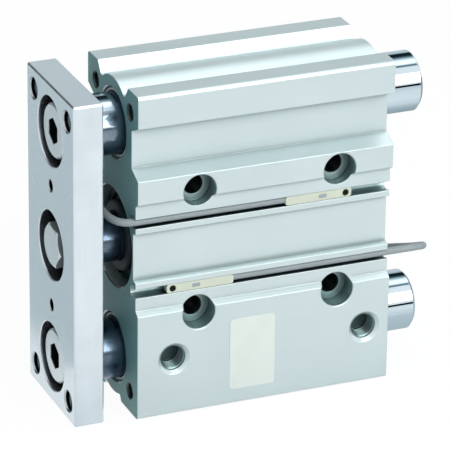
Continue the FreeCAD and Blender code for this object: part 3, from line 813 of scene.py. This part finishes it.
def windThread(name, look):  # modelled at the origin, its axis along +X
    half = look["pitch"] / math.sqrt(3)
    bpy.ops.mesh.primitive_circle_add(
        vertices=3, radius=half, location=(look["start"], 0, look["radius"]),
        rotation=(-math.pi / 2, 0, 0), scale=(1, look["depth"] / half, 1))
    ridge = startPiece(name)
    wind = ridge.modifiers.new("wind", "SCREW")
    wind.axis = "X"
    wind.screw_offset = look["pitch"]
    wind.iterations = look["turns"]
    wind.steps = threadSteps
    wind.render_steps = threadSteps
    wind.use_merge_vertices = True
    bpy.ops.object.modifier_apply(modifier="wind")
    bpy.ops.object.mode_set(mode="EDIT")
    bpy.ops.mesh.select_all(action="SELECT")
    bpy.ops.mesh.fill_holes(sides=4)
    bpy.ops.mesh.normals_make_consistent(inside=False)
    bpy.ops.object.mode_set(mode="OBJECT")
    return ridge


def addThreads(name, look):
    ridge = windThread(name, look)
    for number, (place, degrees) in enumerate(look["places"], 1):
        bpy.ops.object.select_all(action="DESELECT")
        ridge.select_set(True)
        bpy.context.view_layer.objects.active = ridge
        bpy.ops.object.duplicate(linked=False)
        thread = bpy.context.object
        thread.name = f"{name}{number}"
        turn = Matrix.Rotation(math.radians(degrees), 4, "Z")
        thread.data.transform(Matrix.Translation(place) @ turn)
        finishPiece(thread, look["finish"], look["body"])
    bpy.data.objects.remove(ridge)


for name, look in threadLooks.items():
    addThreads(name, look)
print("threads wound")


# Rating film, left bare, and the sensors' indicator windows

labelLook = {
    "low": (-9.6 * mm, 5.3 * mm),
    "high": (6.1 * mm, 30.2 * mm),
    "proud": 0.09 * mm,
    "corner": 1.4 * mm,
    "rim": 0.04 * mm,
    "rise": 0.01 * mm,  # of the face inside the rim
}
windowLook = {
    "size": (2.7 * mm, 0.4 * mm, 1.25 * mm),
    "proud": 0.05 * mm,
    "corner": 0.3 * mm,
    "rim": 0.18 * mm,
    "rise": 0.04 * mm,
    "fromScrewEnd": 10.0 * mm,
}


def addPad(name, place, size, look, segments, material):  # rounded as seen from -Y, with a raised face
    bpy.ops.mesh.primitive_cube_add(size=1, location=place, scale=size)
    pad = startPiece(name)
    pickEdges(pad, lambda line: abs(line.y) > 0.9)
    bpy.ops.mesh.bevel(offset=look["corner"], segments=segments)
    pickFaces(pad, lambda normal: normal.y < -0.9)
    bpy.ops.mesh.inset(thickness=look["rim"])
    bpy.ops.transform.translate(value=(0, -look["rise"], 0))
    finishPiece(pad, material, "cylinder")


def addLabel(look):
    (left, bottom), (right, top) = look["low"], look["high"]
    place = ((left + right) / 2, bodyLow.y - look["proud"] / 2, (bottom + top) / 2)
    addPad("ratingFilm", place, (right - left, look["proud"], top - bottom), look, 6, "labelFilm")


def addWindow(name, sensor, away, look):  # away: +1 where the screw is at the sensor's low-X end
    low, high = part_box(sensor)
    across = (low.x if away > 0 else high.x) + away * look["fromScrewEnd"]
    place = (across, low.y - look["proud"] + look["size"][1] / 2, (low.z + high.z) / 2)
    addPad(name, place, look["size"], look, 4, "windowResin")


addLabel(labelLook)
addWindow("lowerSensorWindow", "lower_sensor", 1, windowLook)
addWindow("upperSensorWindow", "upper_sensor", -1, windowLook)
print("film and windows on")


# Studio: floor, backdrop by the world, soft lamps, and cards that only the metal mirrors

studio = {
    "floorRadius": 0.85,
    "floorDrop": 0.05 * mm,
    "floorColour": (0.72, 0.74, 0.76, 1),
    "floorSpeckle": 0.8 * mm,
    "floorRoughness": 0.9,
    "floorWhite": 1.02,
    "floorGlow": 0.93,  # share of the white that camera, mirror and glass rays see
    "skyColour": (0.95, 0.98, 1.0, 1),
    "skyStrength": 0.46,
}
lamps = {
    "keySoftbox": {
        "place": (0.25, -0.90, 0.60), "size": 0.80, "power": 8.2, "colour": (1.0, 0.997, 0.985),
    },
    "topSoftbox": {"place": (0.05, -0.05, 1.15), "size": 0.9, "power": 3.2, "colour": (0.97, 0.99, 1.0)},
    "humpSoftbox": {
        "place": (0.36, 0.52, 0.91), "size": 0.50, "power": 0.98, "colour": (0.94, 0.99, 1.0),
        "mirroredBy": ["cylinder_body"],
    },
}
cardTint = (1.3, 1.07, 1.0)  # powers of a grey, which turn darker greys bluer
cards = {  # what the metal mirrors; a fade runs along one axis, and the greys are stops along it
    "horizonCard": {
        "centre": (1.2, -2.9, 0.12), "size": (5.5, 0.50), "tip": 90, "turn": 0,
        "fade": ("Z", -0.1, 0.1), "greys": [(0.0, 0.002), (1.0, 0.002)],
    },
    "backCard": {
        "centre": (0.95, 1.00, 0.88), "size": (2.6, 1.76), "tip": 90, "turn": 0,
        "fade": ("Z", 0.0, 1.76),
        "greys": [(0.0, 0.75), (0.34, 0.65), (0.41, 0.55), (0.46, 0.02), (0.74, 0.02), (1.0, 0.14)],
    },
    "leftBackCard": {
        "centre": (-0.68, 0.72, 0.36), "size": (0.95, 0.72), "tip": 90, "turn": 28,
        "fade": ("Z", 0.0, 0.72), "greys": [(0.0, 0.10), (0.3, 0.01), (1.0, 0.004)],
    },
    "ceilingCard": {
        "centre": (0.95, 0.25, 1.76), "size": (2.6, 1.5), "tip": 0, "turn": 0,
        "fade": ("Y", -0.5, 1.0), "glow": 1.5,
        "greys": [
            (0.0, 0.45), (0.06, 0.17), (0.15, 0.17), (0.24, 0.75),
            (0.36, 0.94), (0.58, 0.88), (0.80, 0.40), (1.0, 0.10),
        ],
    },
    # painted shadow: these floor cards give the floor the metal mirrors a lit tone in front, and the object's
    # shadow, darker next to and behind it
    "frontFloorCard": {
        "centre": (0.6, -1.41, 0.0006), "size": (3.4, 2.78), "tip": 0, "turn": 0,
        "fade": ("Y", -2.8, -0.02),
        "greys": [(0.0, 0.74), (0.80, 0.80), (0.93, 0.92), (0.975, 0.95), (1.0, 0.76)],
    },
    "rearFloorShadowCard": {
        "centre": (0.357, 0.14, 0.0009), "size": (0.62, 0.34), "tip": 0, "turn": 0,
        "fade": ("Y", -0.03, 0.31), "greys": [(0.0, 0.72), (0.12, 0.52), (0.35, 0.40), (1.0, 0.36)],
    },
    "leftFloorShadowCard": {
        "centre": (-0.50, 0.42, 0.0006), "size": (0.85, 0.80), "tip": 0, "turn": 0,
        "fade": ("Y", 0.02, 0.82), "greys": [(0.0, 0.62), (1.0, 0.85)],
    },
}


def seenDirectly(tree):  # camera, mirror and glass rays
    rays = add(tree, "LightPath")
    seen = compute(tree, "MAXIMUM", rays.outputs["Is Camera Ray"], rays.outputs["Is Glossy Ray"])
    return compute(tree, "MAXIMUM", seen, rays.outputs["Is Transmission Ray"])


def addFloor(look):
    bpy.ops.mesh.primitive_circle_add(
        vertices=128, radius=look["floorRadius"], fill_type="NGON", location=(0, 0, -look["floorDrop"]))
    floor = bpy.context.object
    floor.name = "studioFloor"
    bpy.ops.object.transform_apply(location=True, rotation=True, scale=True)
    material, tree, shader = startMaterial("paleFloor")
    speckle = grain(tree, look["floorSpeckle"])
    pale = tint(look["floorColour"], 1.01)
    colour = blendColours(tree, spread(tree, speckle, 0.0, 1.0), look["floorColour"], pale)
    tree.links.new(colour, shader.inputs["Base Color"])
    shader.inputs["Roughness"].default_value = look["floorRoughness"]
    glow = add(tree, "Emission", {"Color": (1, 1, 1, 1), "Strength": look["floorWhite"]}).outputs["Emission"]
    share = times(tree, seenDirectly(tree), look["floorGlow"])
    mixed = add(tree, "MixShader", {0: share, 1: shader.outputs["BSDF"], 2: glow}).outputs["Shader"]
    tree.links.new(mixed, tree.nodes["Material Output"].inputs["Surface"])
    floor.data.materials.append(material)


def addSky(look):
    world = bpy.data.worlds.new("studioSky")
    bpy.context.scene.world = world
    world.use_nodes = True
    tree = world.node_tree
    lit = tree.nodes["Background"]
    lit.inputs["Color"].default_value = look["skyColour"]
    lit.inputs["Strength"].default_value = look["skyStrength"]
    white = add(tree, "Background", {"Color": (1, 1, 1, 1), "Strength": 1.0}).outputs["Background"]
    mixed = add(tree, "MixShader", {0: seenDirectly(tree), 1: lit.outputs["Background"], 2: white})
    tree.links.new(mixed.outputs["Shader"], tree.nodes["World Output"].inputs["Surface"])


def addLamp(name, look):
    data = bpy.data.lights.new(name, "AREA")
    data.shape = "DISK"
    data.size = look["size"]
    data.energy = look["power"]
    data.color = look["colour"]
    lamp = bpy.data.objects.new(name, data)
    bpy.context.scene.collection.objects.link(lamp)
    lamp.location = look["place"]
    aim = Vector((0, 0, pistonZ)) - Vector(look["place"])
    lamp.rotation_euler = aim.to_track_quat("-Z", "Y").to_euler()
    if "mirroredBy" in look:  # a sheen on those nodes alone, which lights nothing
        mirrors = bpy.data.collections.new(name + "Mirrors")
        for node in look["mirroredBy"]:
            mirrors.objects.link(cad[node])
        lamp.light_linking.receiver_collection = mirrors
        lamp.visible_diffuse = False


def addCard(name, look):
    standing = (math.radians(look["tip"]), 0, math.radians(look["turn"]))
    bpy.ops.mesh.primitive_plane_add(size=1, location=look["centre"], rotation=standing)
    card = bpy.context.object
    card.name = name
    card.scale = (look["size"][0], look["size"][1], 1)
    bpy.ops.object.transform_apply(location=True, rotation=True, scale=True)
    material, tree, shader = startMaterial(name)
    axis, start, end = look["fade"]
    ramp = add(tree, "ValToRGB", {"Fac": spread(tree, alongAxis(tree, axis), 0.0, 1.0, start, end)})
    stops = ramp.color_ramp.elements
    for place, grey in look["greys"][1:-1]:
        stops.new(place)
    for stop, (place, grey) in zip(stops, look["greys"]):
        stop.position = place
        stop.color = (*(grey ** power for power in cardTint), 1)
    light = {"Color": ramp.outputs["Color"], "Strength": look.get("glow", 1.0)}
    glow = add(tree, "Emission", light).outputs["Emission"]
    tree.links.new(glow, tree.nodes["Material Output"].inputs["Surface"])
    card.data.materials.append(material)
    card.visible_camera = False
    card.visible_diffuse = False
    card.visible_shadow = False


addFloor(studio)
addSky(studio)
for name, look in lamps.items():
    addLamp(name, look)
for name, look in cards.items():
    addCard(name, look)
bpy.context.scene.view_settings.view_transform = "Standard"
print("studio set")
